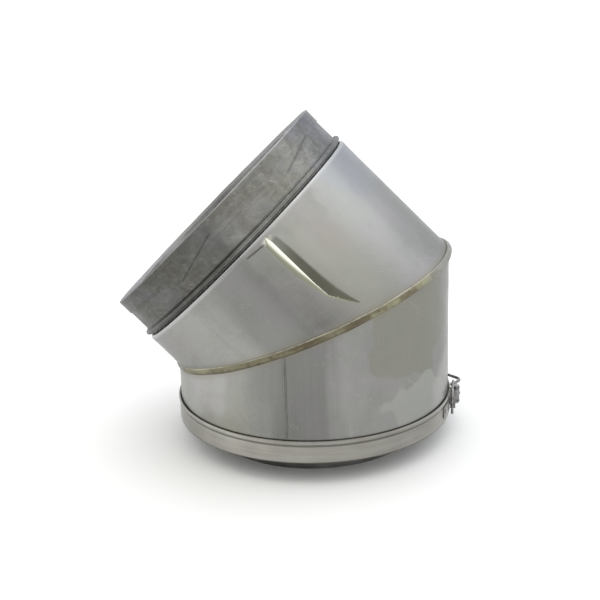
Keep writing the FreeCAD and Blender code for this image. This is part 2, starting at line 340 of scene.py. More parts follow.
# Paints a level round the part: its own tone and, in part, painted reflection of the room.
def tone_and_painted_reflections_round(nodes, flat, tones_and_painted_reflections):
    """A tone that changes smoothly round the casing: (degrees, level) pairs, -180 to 180.
    The pairs were set one by one. On the bright casings they stand in part for the light and
    dark streaks that a room leaves on such sheet, so those streaks stay put on the steel."""
    wander = nodes.noise(flat, (14.0, 120.0, 1.0), detail=3.0)
    round_it, _, _ = nodes.parts_of(flat)
    round_it = nodes.math("ADD", round_it, nodes.spread(wander, 0.3, 0.7, -5.0, 5.0))
    level = tones_and_painted_reflections[0][1]
    for (start, before), (end, after) in zip(tones_and_painted_reflections, tones_and_painted_reflections[1:]):
        step = nodes.spread(round_it, round_mm(start), round_mm(end), 0.0, after - before)
        level = nodes.math("ADD", level, step)
    return level


def soft_patch(nodes, flat, angle, along, wide, tall, edge):
    """1 inside a rounded patch with a wandering outline, 0 outside. The patch has its middle
    at an angle in degrees and a place along, and half sizes wide and tall, in millimetres."""
    offset = nodes.minus(flat, (round_mm(angle), along, 0))
    size = nodes.add("ShaderNodeVectorMath", operation="LENGTH")
    nodes.link(nodes.scaled(offset, (1 / wide, 1 / tall, 1)), size.inputs[0])
    wander = nodes.noise(flat, (26.0, 30.0, 1.0), detail=1.0)
    off = nodes.math("ADD", size.outputs["Value"], nodes.spread(wander, 0.3, 0.7, -0.22, 0.22))
    return nodes.spread(off, 1.0 - edge, 1.0 + edge, 1.0, 0.0)


def mitre_distance(nodes, place, turned):
    """How far a point is from the mitre plane, in millimetres, in its segment's frame."""
    x, _, z = nodes.parts_of(place)
    if turned is upper_frame:
        centre, slope = 0.0, -mitre_slope
    else:
        centre, slope = crossing.z / MM, mitre_slope
    rise = nodes.math("MULTIPLY", x, slope)
    off = nodes.math("SUBTRACT", nodes.math("SUBTRACT", z, centre), rise)
    return nodes.math("ABSOLUTE", nodes.math("MULTIPLY", off, math.cos(bend / 2)))


# --- materials -----------------------------------------------------------------------
def painted_light_toward_collar(nodes, level, round_it, along):
    """The upper casing's tone with painted light and shade in it: lighter towards the collar, but darker
    there on its left.
    """
    side = nodes.spread(round_it, round_mm(-115), round_mm(-60), -0.09, 0.15)
    lift = nodes.math("MULTIPLY", side, nodes.spread(along, -30.0, 71.0, -1.0, 1.0))
    return nodes.math("MULTIPLY", level, nodes.math("ADD", lift, 1.0))


def crease_looks(nodes, colour, flat, along):
    """The crease's colours, painted light and shade: a painted highlight on the rolling wall near the
    valley, stronger towards the top, painted shade over that wall and over the flat wall, and a painted
    shadow line at its top.
    """
    lens = nodes.add("ShaderNodeAttribute", attribute_name="crease_lens").outputs["Fac"]
    wall = nodes.add("ShaderNodeAttribute", attribute_name="crease_wall").outputs["Fac"]
    # A painted shadow line at the crease's top, where the sheet sits lower than the shoulder.
    fold_shadow_line = drawn_line(nodes, flat, (-66.5, 62.4), (-75.5, 64.2), 0.9)
    highlight_toward_top = nodes.spread(along, 4.0, 60.0, 0.0, 0.36)
    shine = nodes.spread(nodes.math("ADD", lens, highlight_toward_top), 0.70, 1.16)
    shine = nodes.math("MULTIPLY", shine, nodes.spread(lens, 0.0, 0.1))
    faded = nodes.spread(along, 36.0, 64.0, 0.92, 0.5)
    dark = nodes.math("MULTIPLY", nodes.spread(wall, 0.0, 0.25), faded)
    # Painted shade over the rolling wall, a painted highlight beside the valley, then painted shade on the
    # flat wall.
    colour = nodes.mix(nodes.spread(lens, 0.0, 0.2, 0.0, 0.65), colour, (0.20, 0.20, 0.13, 1))
    colour = nodes.mix(shine, colour, (0.90, 0.91, 0.80, 1))
    colour = nodes.mix(dark, colour, (0.13, 0.13, 0.10, 1))
    # The painted shadow line at the top.
    return nodes.mix(nodes.math("MULTIPLY", fold_shadow_line, 0.8), colour, grey(0.07, 0.05))


def casing_steel(name, turned, along_grain, tones_and_painted_reflections, stains_and_painted_light):
    """Bright annealed sheet: a soft mirror with faint grain, haze and handling scratches.
    Its level round the casing and some of its patches hold painted reflections and highlights.
    """
    nodes = Nodes(name)
    place = nodes.place(turned)
    cloud = nodes.noise(place, 60.0, detail=4.0, roughness=0.6)
    smudge = nodes.noise(place, 22.0, detail=5.0, roughness=0.65, distortion=0.6)
    tint = nodes.noise(place, 38.0, detail=2.0)
    sizes = (1.2, 1.2, 90.0) if along_grain else (70.0, 70.0, 0.9)
    grain = nodes.noise(place, sizes, detail=4.0, roughness=0.7)
    speck = nodes.noise(place, 1.6, detail=3.0)
    flat = unrolled(nodes, place)
    round_it, along, _ = nodes.parts_of(flat)
    marks = nodes.math("MAXIMUM", scratches(nodes, flat, 38, 90.0, 5.0, 0.010),
                       scratches(nodes, flat, -62, 120.0, 9.0, 0.006))
    marks = nodes.math("MULTIPLY", marks, nodes.spread(smudge, 0.5, 0.62))

    level = tone_and_painted_reflections_round(nodes, flat, tones_and_painted_reflections)
    level = nodes.math("MULTIPLY", level, nodes.spread(cloud, 0.3, 0.7, 0.92, 1.08))
    if turned is upper_frame:
        # Painted light and shade along the upper casing.
        level = painted_light_toward_collar(nodes, level, round_it, along)
    hue = nodes.mix(nodes.spread(tint, 0.4, 0.65), (0.99, 1.0, 0.94, 1), (1.02, 1.0, 0.985, 1))
    colour = nodes.mix(1.0, hue, nodes.grey_of(level), "MULTIPLY")
    colour = nodes.mix(nodes.spread(smudge, 0.52, 0.72, 0.0, 0.25), colour, grey(0.22, 0.0, -0.06))
    colour = nodes.mix(nodes.spread(grain, 0.3, 0.7, 0.0, 0.07), colour, grey(0.38, 0.0, -0.03))
    # Patches: some are real marks, others painted reflections and highlights; each casing lists which.
    for strength, patch_tone, shape in stains_and_painted_light:
        patch = soft_patch(nodes, flat, *shape)
        colour = nodes.mix(nodes.math("MULTIPLY", patch, strength), colour, patch_tone)
    colour = nodes.mix(nodes.math("MULTIPLY", marks, 0.25), colour, grey(0.40))
    near_weld = mitre_distance(nodes, place, turned)
    tint_edge = nodes.math("ADD", near_weld, nodes.math("MULTIPLY", smudge, 5.0))
    colour = nodes.mix(nodes.spread(tint_edge, 4.0, 9.5, 0.35, 0.0), colour, (0.24, 0.21, 0.14, 1))

    roughness = nodes.spread(cloud, 0.3, 0.7, 0.24, 0.32)
    roughness = nodes.math("ADD", roughness, nodes.spread(smudge, 0.5, 0.75, 0.0, 0.08))
    roughness = nodes.math("ADD", roughness, nodes.spread(grain, 0.3, 0.8, -0.02, 0.03))
    roughness = nodes.math("ADD", roughness, nodes.math("MULTIPLY", marks, 0.10))
    roughness = nodes.math("ADD", roughness, nodes.spread(near_weld, 2.5, 9.0, 0.10, 0.0))
    if turned is upper_frame:
        # A painted highlight: a lighter strip along the shoulder's turn.
        shoulder = nodes.spread(along, casing_end / MM - 4.5, casing_end / MM - 1.0)
        colour = nodes.mix(nodes.math("MULTIPLY", shoulder, 0.6), colour, grey(0.56, 0.0, 0.02))
        colour = crease_looks(nodes, colour, flat, along)
    normal = nodes.bump(grain, 0.04, 0.02)
    normal = nodes.bump(speck, 0.03, 0.02, normal)
    normal = nodes.bump(marks, 0.08, 0.02, normal)
    return nodes.finish(colour, roughness, normal, edge_tint=0.75)


def collar_steel():
    """Dull, much handled sheet: mottled patches, rubbed marks and long diagonal scuffs."""
    nodes = Nodes("dull_steel")
    place = nodes.place(upper_frame)
    cloud = nodes.noise(place, 34.0, detail=5.0, roughness=0.65)
    patch = nodes.noise(place, 9.0, detail=6.0, roughness=0.7, distortion=1.2)
    spangle = nodes.cells(place, 7.0)
    speck = nodes.noise(place, 1.1, detail=4.0, roughness=0.7)
    around = nodes.noise(place, (60.0, 60.0, 0.7), detail=4.0, roughness=0.7)
    flat = unrolled(nodes, place)
    scuff = scratches(nodes, flat, 24, 60.0, 4.0, 0.022)
    deep = drawn_line(nodes, flat, (-14.4, 91.7), (-37.5, 84.0), 1.3)
    for start, end in (((-78.3, 93.6), (-101.7, 83.5)), ((62.0, 92.0), (40.0, 84.5)),
                       ((141.0, 91.0), (118.0, 82.0))):
        deep = nodes.math("MAXIMUM", deep, drawn_line(nodes, flat, start, end, 1.1))
    rubbed = nodes.math("MULTIPLY", scuff, nodes.spread(patch, 0.48, 0.6))
    round_it, along, _ = nodes.parts_of(flat)
    # Levels round the collar: partly its own tone, partly painted reflection of the room's light and dark
    # sides.
    tones_and_painted_reflections = ((-180, 0.8), (-150, 0.45), (-122, 0.59), (-100, 0.61), (-86, 0.64), (-66, 1.13),
             (-50, 0.98), (-30, 1.09), (-16, 0.85), (-4, 0.66), (10, 0.72), (80, 1.0),
             (130, 0.85), (180, 0.8))

    colour = nodes.mix(nodes.spread(cloud, 0.3, 0.7), grey(0.13, 0.03), grey(0.23, 0.01, 0.01))
    colour = nodes.mix(nodes.spread(patch, 0.35, 0.7, 0.0, 0.5), colour, grey(0.27, 0.02))
    hue = nodes.mix(nodes.spread(cloud, 0.42, 0.6), (1.0, 1.0, 0.91, 1), (0.99, 1.0, 1.01, 1))
    colour = nodes.mix(1.0, colour, hue, "MULTIPLY")
    tone = nodes.add("ShaderNodeSeparateColor")
    nodes.link(spangle, tone.inputs[0])
    colour = nodes.mix(nodes.spread(tone.outputs[0], 0.2, 0.9, 0.0, 0.22), colour, grey(0.12))
    colour = nodes.mix(nodes.spread(around, 0.45, 0.75, 0.0, 0.25), colour, grey(0.32))
    colour = nodes.mix(nodes.math("MULTIPLY", rubbed, 0.35), colour, grey(0.38))
    colour = nodes.mix(nodes.math("MULTIPLY", deep, 0.5), colour, grey(0.07))
    # A painted highlight: lighter along the rim's edge.
    rim = nodes.spread(along, (collar_end - 1.4 * MM) / MM, (collar_end - 0.4 * MM) / MM)
    colour = nodes.mix(nodes.math("MULTIPLY", rim, 0.6), colour, grey(0.55))
    # Painted shade in the groove above the bead, stronger round the left and front, weaker on the right.
    neck = nodes.math("ABSOLUTE", nodes.math("SUBTRACT", along, casing_end / MM + 4.9))
    shade_by_side = nodes.spread(round_it, round_mm(-80), round_mm(-45), 0.85, 0.3)
    neck = nodes.math("MULTIPLY", nodes.spread(neck, 0.3, 1.2, 1.0, 0.0), shade_by_side)
    colour = nodes.mix(neck, colour, grey(0.05))
    # Painted shade over the bead's lower part and its foot.
    on_bead = nodes.spread(along, casing_end / MM + 4.0, casing_end / MM + 5.0, 0.35, 0.0)
    colour = nodes.mix(on_bead, colour, grey(0.11))
    level = tone_and_painted_reflections_round(nodes, flat, tones_and_painted_reflections)
    level = nodes.math("MULTIPLY", level, nodes.spread(along, 78.0, 103.0, 1.08, 0.92))
    colour = nodes.mix(1.0, colour, nodes.grey_of(level), "MULTIPLY")
    cooler = nodes.math("MULTIPLY", nodes.spread(round_it, round_mm(-32), round_mm(-14)),
                        nodes.spread(round_it, round_mm(12), round_mm(45), 1.0, 0.0))
    colour = nodes.mix(cooler, colour, (0.97, 1.0, 1.07, 1), "MULTIPLY")
    inside = nodes.add("ShaderNodeAttribute", attribute_name="inner_side").outputs["Fac"]
    colour = nodes.mix(nodes.math("MULTIPLY", inside, 0.8), colour, grey(0.50, 0.0, 0.02))

    roughness = nodes.spread(cloud, 0.3, 0.7, 0.36, 0.52)
    roughness = nodes.math("ADD", roughness, nodes.spread(patch, 0.35, 0.7, 0.06, -0.05))
    roughness = nodes.math("ADD", roughness, nodes.spread(speck, 0.3, 0.7, -0.04, 0.05))
    normal = nodes.bump(patch, 0.25, 0.12)
    normal = nodes.bump(speck, 0.16, 0.05, normal)
    normal = nodes.bump(around, 0.12, 0.03, normal)
    normal = nodes.bump(nodes.math("MAXIMUM", rubbed, deep), 0.3, 0.05, normal)
    return nodes.finish(colour, roughness, normal)


def weld_bead_steel():
    """The mitre's bead: straw, olive and brown heat tint over fine ripples, with a painted highlight along
    its upper side and painted shade along its lower side.
    """
    nodes = Nodes("heat_tinted_weld")
    place = nodes.place(lower_frame)
    tint = nodes.noise(place, 26.0, detail=3.0, roughness=0.6)
    spot = nodes.noise(place, 5.0, detail=5.0, roughness=0.65)
    fine = nodes.noise(place, 0.8, detail=4.0)
    x, _, z = nodes.parts_of(place)
    above = nodes.math("SUBTRACT", nodes.math("SUBTRACT", z, crossing.z / MM),
                       nodes.math("MULTIPLY", x, mitre_slope))
    above = nodes.math("ADD", above, nodes.spread(spot, 0.3, 0.7, -0.3, 0.3))
    colour = nodes.mix(nodes.spread(tint, 0.35, 0.62),
                       (0.135, 0.115, 0.08, 1), (0.27, 0.26, 0.18, 1))
    browner = nodes.spread(nodes.math("ABSOLUTE", nodes.math("ADD", x, 15.0)), 15.0, 60.0, 0.45, 0.0)
    colour = nodes.mix(browner, colour, (0.11, 0.085, 0.055, 1))
    colour = nodes.mix(nodes.spread(spot, 0.5, 0.75, 0.0, 0.65), colour, (0.07, 0.05, 0.035, 1))
    # Painted highlight along the bead's upper side.
    colour = nodes.mix(nodes.spread(above, 1.8, 2.9, 0.0, 0.8), colour, (0.50, 0.49, 0.42, 1))
    # Painted shade along the bead's lower side.
    colour = nodes.mix(nodes.spread(above, -1.8, -3.0, 0.0, 0.6), colour, (0.05, 0.045, 0.03, 1))
    untinted = nodes.math("MAXIMUM", nodes.spread(x, 84.0, 98.0, 0.0, 0.8),
                          nodes.spread(x, -78.0, -92.0, 0.0, 0.7))
    colour = nodes.mix(untinted, colour, grey(0.25, 0.0, -0.05))
    roughness = nodes.spread(spot, 0.3, 0.7, 0.42, 0.60)
    normal = nodes.bump(fine, 0.25, 0.06)
    return nodes.finish(colour, roughness, normal)


def band_steel():
    """Brushed strap, a little warmer than the casing, with painted shade in its groove and along its top and
    bottom edges.
    """
    nodes = Nodes("band_steel")
    place = nodes.place(lower_frame)
    brushed = nodes.noise(place, (80.0, 80.0, 0.35), detail=5.0, roughness=0.75)
    broad = nodes.noise(place, (60.0, 60.0, 3.0), detail=3.0)
    cloud = nodes.noise(place, 40.0, detail=4.0)
    speck = nodes.noise(place, 1.4, detail=4.0)
    _, _, z = nodes.parts_of(place)
    flat = unrolled(nodes, place)
    # Levels round the strap: partly its own tone, partly painted reflection of the room.
    tones_and_painted_reflections = ((-180, 1.0), (-138, 0.95), (-112, 1.25), (-92, 1.0), (-80, 0.88), (-48, 0.82),
             (20, 1.0), (90, 0.9), (150, 1.1), (180, 1.0))
    colour = nodes.mix(nodes.spread(cloud, 0.35, 0.65), grey(0.27, 0.04, -0.05), grey(0.35, 0.035, -0.06))
    colour = nodes.mix(nodes.spread(brushed, 0.35, 0.7, 0.0, 0.35), colour, grey(0.22, 0.03, -0.05))
    colour = nodes.mix(nodes.spread(broad, 0.4, 0.7, 0.0, 0.3), colour, grey(0.45, 0.0, -0.06))
    colour = nodes.mix(nodes.spread(speck, 0.62, 0.75, 0.0, 0.4), colour, grey(0.2, 0.05))
    colour = nodes.mix(1.0, colour, nodes.grey_of(tone_and_painted_reflections_round(nodes, flat, tones_and_painted_reflections)), "MULTIPLY")
    # Painted shade in the groove.
    groove = (band_bottom + 12.8 * MM) / MM
    in_groove = nodes.math("ABSOLUTE", nodes.math("SUBTRACT", z, groove))
    colour = nodes.mix(nodes.spread(in_groove, 0.3, 0.95, 0.65, 0.0), colour, grey(0.06, 0.1))
    # Painted shade along the strap's lower edge.
    low_edge = nodes.spread(z, band_bottom / MM + 0.1, band_bottom / MM + 1.2, 0.75, 0.0)
    colour = nodes.mix(low_edge, colour, grey(0.08, 0.15))
    # Painted shade along the strap's top edge, where it meets the casing.
    top_edge = nodes.spread(z, band_top / MM - 0.6, band_top / MM - 0.1, 0.0, 0.35)
    colour = nodes.mix(top_edge, colour, grey(0.10, 0.02))
    roughness = nodes.spread(brushed, 0.3, 0.7, 0.30, 0.44)
    roughness = nodes.math("ADD", roughness, nodes.spread(cloud, 0.3, 0.7, -0.03, 0.06))
    normal = nodes.bump(brushed, 0.22, 0.03)
    normal = nodes.bump(speck, 0.08, 0.03, normal)
    return nodes.finish(colour, roughness, normal)


def liner_steel(name, turned, level=0.36):
    """Dull rolled liner with drawn lines round it and soot-grey haze."""
    nodes = Nodes(name)
    place = nodes.place(turned)
    drawn = nodes.noise(place, (90.0, 90.0, 0.8), detail=5.0, roughness=0.7)
    cloud = nodes.noise(place, 30.0, detail=5.0, roughness=0.6)
    speck = nodes.noise(place, 1.5, detail=3.0)
    colour = nodes.mix(nodes.spread(cloud, 0.3, 0.7), grey(level * 0.75, 0.01), grey(level * 1.1))
    colour = nodes.mix(nodes.spread(drawn, 0.4, 0.75, 0.0, 0.35), colour, grey(level * 1.5))
    colour = nodes.mix(nodes.spread(speck, 0.55, 0.75, 0.0, 0.25), colour, grey(level * 0.5, 0.03))
    roughness = nodes.spread(cloud, 0.3, 0.7, 0.26, 0.42)
    roughness = nodes.math("ADD", roughness, nodes.spread(drawn, 0.3, 0.7, -0.03, 0.05))
    normal = nodes.bump(drawn, 0.2, 0.04)
    normal = nodes.bump(speck, 0.08, 0.03, normal)
    return nodes.finish(colour, roughness, normal)


def worn_steel(name, level, warm=0.0, rough=0.34):
    """Small steel parts: darker in patches, rubbed bright in others, finely pitted."""
    nodes = Nodes(name)
    place = nodes.place(lower_frame)
    patch = nodes.noise(place, 3.0, detail=5.0, roughness=0.65)
    fine = nodes.noise(place, 0.5, detail=4.0)
    wear = nodes.noise(place, 6.0, detail=3.0, distortion=0.8)
    colour = nodes.mix(nodes.spread(patch, 0.3, 0.7), grey(level * 0.6, warm), grey(level, warm))
    colour = nodes.mix(nodes.spread(wear, 0.52, 0.68, 0.0, 0.5), colour, grey(min(level * 1.8, 0.7)))
    roughness = nodes.spread(patch, 0.3, 0.7, rough, rough + 0.14)
    roughness = nodes.math("ADD", roughness, nodes.spread(wear, 0.5, 0.7, 0.0, -0.08))
    normal = nodes.bump(fine, 0.2, 0.02)
    normal = nodes.bump(patch, 0.15, 0.05, normal)
    return nodes.finish(colour, roughness, normal)


def seam_steel(name, turned, angle, radius):
    """A ground longitudinal weld: casing grey with a thin dark line down its middle."""
    nodes = Nodes(name)
    place = nodes.place(turned)
    ripple = nodes.noise(place, (4.0, 4.0, 0.7), detail=3.0)
    tint = nodes.noise(place, 12.0, detail=4.0)
    x, y, _ = nodes.parts_of(place)
    middle = Vector((math.cos(math.radians(angle)), math.sin(math.radians(angle)))) * radius / MM
    off_x = nodes.math("POWER", nodes.math("SUBTRACT", x, middle.x), 2.0)
    off_y = nodes.math("POWER", nodes.math("SUBTRACT", y, middle.y), 2.0)
    beside = nodes.math("SQRT", nodes.math("ADD", off_x, off_y))
    colour = nodes.mix(nodes.spread(tint, 0.35, 0.65), grey(0.15, 0.0, -0.05), grey(0.19, 0.0, -0.05))
    colour = nodes.mix(nodes.spread(ripple, 0.45, 0.7, 0.0, 0.3), colour, grey(0.22, 0.0, -0.04))
    colour = nodes.mix(nodes.spread(beside, 0.15, 0.6, 0.75, 0.0), colour, grey(0.06, 0.05))
    roughness = nodes.spread(ripple, 0.3, 0.7, 0.28, 0.42)
    normal = nodes.bump(ripple, 0.2, 0.04)
    return nodes.finish(colour, roughness, normal)


def mineral_wool(name, turned):
    """Rock wool: matted straw-grey fibres, laid round the liner."""
    nodes = Nodes(name)
    place = nodes.place(turned)
    fibre = nodes.noise(place, (2.5, 2.5, 0.25), detail=6.0, roughness=0.8, distortion=1.5)
    crossing_fibre = nodes.noise(place, (0.3, 0.3, 3.0), detail=6.0, roughness=0.8, distortion=1.5)
    clump = nodes.noise(place, 8.0, detail=4.0)
    mat = nodes.math("MULTIPLY", fibre, crossing_fibre)
    colour = nodes.mix(nodes.spread(mat, 0.12, 0.4), (0.12, 0.10, 0.06, 1), (0.50, 0.44, 0.30, 1))
    colour = nodes.mix(nodes.spread(clump, 0.4, 0.7, 0.0, 0.4), colour, (0.30, 0.26, 0.17, 1))
    normal = nodes.bump(mat, 0.9, 0.8)
    return nodes.finish(colour, nodes.spread(clump, 0.3, 0.7, 0.85, 0.98), normal, metallic=0.0)


# --- the upper casing ----------------------------------------------------------------
# The crease: places along the upper axis in mm, then degrees round it for its left edge,
# valley and right edge, and its depth in mm. It closes at both ends.
crease_line = ((65.4, -64.6, -64.3, -63.6, 0.0), (60.5, -67.3, -63.7, -60.9, 1.4),
               (50.0, -67.5, -63.6, -60.3, 1.75), (33.0, -67.4, -63.6, -59.8, 1.6),
               (20.0, -65.7, -63.6, -59.4, 1.3), (8.0, -64.4, -63.3, -58.6, 1.0),
               (-3.0, -60.4, -59.8, -57.6, 0.42), (-11.0, -57.0, -56.8, -56.6, 0.0))
crease_middle = -62.0        # degrees
crease_shelter = 5.0         # degrees beside the crease over which the sheet lies true


def crease_section(along):
    """The crease's edges, valley and depth at a place, or None beyond its ends."""
    for above, below in zip(crease_line, crease_line[1:]):
        if below[0] * MM <= along <= above[0] * MM:
            ratio = (along / MM - below[0]) / (above[0] - below[0])
            return [one + (two - one) * ratio for one, two in zip(below[1:], above[1:])]
    return None


def crease_tones(degrees, along):
    """How far across the crease's left and right walls a point lies, 0 to 1, or 0, 0."""
    section = crease_section(along)
    if not section or not section[0] < degrees < section[2]:
        return 0.0, 0.0
    left, valley, right, _ = section
    if degrees < valley:
        return (degrees - left) / (valley - left), 0.0
    return 0.0, (right - degrees) / (right - valley)


def crease_depth(angle, along):
    """How far the sheet is pressed in: a wall that rolls over into a sharp valley, and a
    flat wall that climbs back out."""
    section = crease_section(along)
    if not section:
        return 0.0
    left, valley, right, depth = section
    degrees = math.degrees(angle)
    if degrees <= left or degrees >= right:
        return 0.0
    if degrees < valley:
        return depth * MM * ((degrees - left) / (valley - left)) ** 1.7
    return depth * MM * ((right - degrees) / (right - valley)) ** 1.15


def crease_angles():
    """Angles round the upper axis, much closer together across the crease."""
    fine_start, fine_end = -70.0, -55.0
    fine = even(fine_start, fine_end, 100)
    coarse = even(fine_end, fine_start + 360, 300)
    return [math.radians(angle) for angle in fine + coarse[1:-1]]


def upper_casing():
    turn_radius = 2.9 * MM
    middle = (casing_radius - turn_radius, casing_end - turn_radius)
    start = casing_end - turn_radius
    inner = casing_radius - sheet
    mitre_reach = casing_radius * mitre_slope
    outside = stretch((casing_radius, -mitre_reach), (casing_radius, start), 170)
    shoulder = arc(middle, turn_radius, 0, 90, 10)[1:]
    inside_turn = arc(middle, turn_radius - sheet, 90, 0, 5)
    inside = stretch((inner, start), (inner, -mitre_reach), 24)[1:]

    def shift(angle, radius, along):
        degrees = math.degrees(angle)
        wrapped = math.radians((degrees + 180) % 360 - 180)
        mitre = -radius * math.cos(angle) * mitre_slope
        ratio = (start - along) / (start + mitre_reach)
        onward = ratio * (mitre + mitre_reach) if along < start else 0.0
        here = along + onward
        away_from_weld = blend_between(here - mitre, 1 * MM, 14 * MM)
        slack = away_from_weld * blend_between(casing_end - here, 1 * MM, 10 * MM)
        if crease_line[-1][0] * MM < here < crease_line[0][0] * MM:
            beside = abs(math.degrees(wrapped) - crease_middle)
            slack *= blend_between(beside, crease_shelter, 2 * crease_shelter)
        outward = -0.16 * MM * slack * (1 + waves(angle, here, 3.0, 46 * MM))
        outward -= 0.05 * MM * slack * (1 + waves(angle, here, 8.0, 17 * MM))
        return outward - crease_depth(wrapped, here), onward

    # The level round the casing is partly its own tone and partly painted reflection; the dark run from -92
    # to -80 degrees is the painted reflection of the room's dim side.
    tones_and_painted_reflections = ((-180, 0.27), (-148, 0.30), (-134, 0.35), (-110, 0.34), (-92, 0.205), (-80, 0.208),
             (-68, 0.29), (-54, 0.30), (-40, 0.27), (-22, 0.285), (4, 0.22), (60, 0.30),
             (110, 0.27), (180, 0.27))
    # Patches (strength, colour, then middle angle, place along, half width, half height, edge). The pale one
    # at -64.5 degrees is a painted highlight at the crease's top and the bluish one at -6 degrees a painted
    # reflection of bluish light; the pinkish one, the olive-grey one and the dark one at the back are tinted
    # patches.
    stains_and_painted_light = ((0.2, (0.33, 0.27, 0.25, 1), (-46, 36, 12, 16, 0.6)),
              (0.5, (0.27, 0.285, 0.33, 1), (-6, 60, 30, 28, 0.7)),
              (0.3, (0.31, 0.31, 0.265, 1), (-54, 10, 18, 36, 0.7)),
              (0.7, (0.80, 0.81, 0.74, 1), (-64.5, 63.0, 4.5, 2.4, 0.4)),
              (0.3, (0.20, 0.20, 0.17, 1), (120, 20, 30, 22, 0.3)))
    steel = casing_steel("casing_steel", upper_frame, False, tones_and_painted_reflections, stains_and_painted_light)
    piece = spun("upper_casing_shell", "elbow", steel,
                 outside + shoulder + inside_turn + inside, crease_angles(), upper_frame, shift)
    lens = piece.data.attributes.new("crease_lens", "FLOAT", "POINT")
    wall = piece.data.attributes.new("crease_wall", "FLOAT", "POINT")
    back = upper_frame.inverted()
    for index, vertex in enumerate(piece.data.vertices):
        place = back @ vertex.co
        degrees = math.degrees(math.atan2(place.y, place.x))
        lens.data[index].value, wall.data[index].value = crease_tones(degrees, place.z)
    return piece


# --- the lower casing ----------------------------------------------------------------
def lower_casing():
    inner = casing_radius - sheet
    top = crossing.z + casing_radius * mitre_slope
    outside = stretch((casing_radius, casing_bottom), (casing_radius, top), 90)
    inside = stretch((inner, top), (inner, casing_bottom), 24)

    def shift(angle, radius, along):
        mitre = crossing.z + radius * math.cos(angle) * mitre_slope
        ratio = (along - casing_bottom) / (top - casing_bottom)
        onward = ratio * (mitre - top)
        here = along + onward
        away_from_weld = blend_between(mitre - here, 1 * MM, 14 * MM)
        slack = away_from_weld * blend_between(here, band_top - 6 * MM, band_top + 12 * MM)
        outward = -0.15 * MM * slack * (1 + waves(angle, here, 1.0, 44 * MM))
        outward -= 0.04 * MM * slack * (1 + waves(angle, here, 5.0, 15 * MM))
        return outward, onward

    # The level round the casing is partly its own tone and partly painted reflection; the dark run from -94
    # to -78 degrees is the painted reflection of the room's dim side.
    tones_and_painted_reflections = ((-180, 0.33), (-150, 0.37), (-122, 0.355), (-106, 0.25), (-94, 0.17), (-78, 0.168),
             (-66, 0.245), (-56, 0.225), (-44, 0.225), (-26, 0.22), (-14, 0.22), (30, 0.27),
             (75, 0.33), (120, 0.28), (180, 0.33))
    # Patches (strength, colour, then middle angle, place along, half width, half height, edge). The dark
    # olive one near the mitre at -35 degrees and the lighter ones at -33 and -11 degrees are painted
    # reflections; the olive ones at -122 and -112 degrees and the dark one at the back are tinted patches.
    stains_and_painted_light = ((0.65, (0.20, 0.20, 0.168, 1), (-35, 101, 42, 34, 0.05)),
              (0.8, (0.29, 0.295, 0.275, 1), (-33, 46, 31, 19, 0.05)),
              (0.7, (0.38, 0.38, 0.37, 1), (-11, 42, 18, 24, 0.5)),
              (0.5, (0.21, 0.21, 0.165, 1), (-122, 30, 24, 14, 0.5)),
              (0.35, (0.30, 0.30, 0.255, 1), (-112, 45, 13, 24, 0.5)),
              (0.3, (0.20, 0.20, 0.17, 1), (95, 60, 40, 24, 0.1)))
    steel = casing_steel("casing_steel_lower", lower_frame, True, tones_and_painted_reflections, stains_and_painted_light)
    return spun("lower_casing_shell", "elbow", steel, outside + inside,
                all_round(360), lower_frame, shift)


# --- the mitre's weld bead -----------------------------------------------------------
def mitre_bead():
    """A rippled bead along the ellipse where the two casings meet."""
    count = 900
    sides = 16
    bead_height = 2.0 * MM
    bead_half_width = 2.9 * MM
    wide = Vector((math.cos(bend / 2), 0, math.sin(bend / 2)))
    across = Vector((0, 1, 0))
    plane_normal = wide.cross(across)
    long_radius = casing_radius / math.cos(bend / 2)
    rows = []
    for index in range(count):
        angle = TURN * index / count
        centre = crossing + wide * long_radius * math.cos(angle) + across * casing_radius * math.sin(angle)
        tangent = across * casing_radius * math.cos(angle) - wide * long_radius * math.sin(angle)
        outward = tangent.normalized().cross(plane_normal)
        ripple = 0.035 * math.sin(angle * 330) * (0.6 + 0.4 * noise.noise(centre * 60))
        swell = 0.07 * noise.noise(centre * 90)
        size = 0.93 + ripple + swell
        wander = plane_normal * 0.3 * MM * noise.noise(centre * 45)
        rows.append([centre + wander + outward * bead_height * size * math.cos(TURN * side / sides)
                     + plane_normal * bead_half_width * size * math.sin(TURN * side / sides)
                     for side in range(sides)])
    vertices = [rows[index][side] for side in range(sides) for index in range(count)]
    return make_piece("mitre_weld_bead", "elbow", weld_bead_steel(),
                      vertices, grid_faces(sides, count))


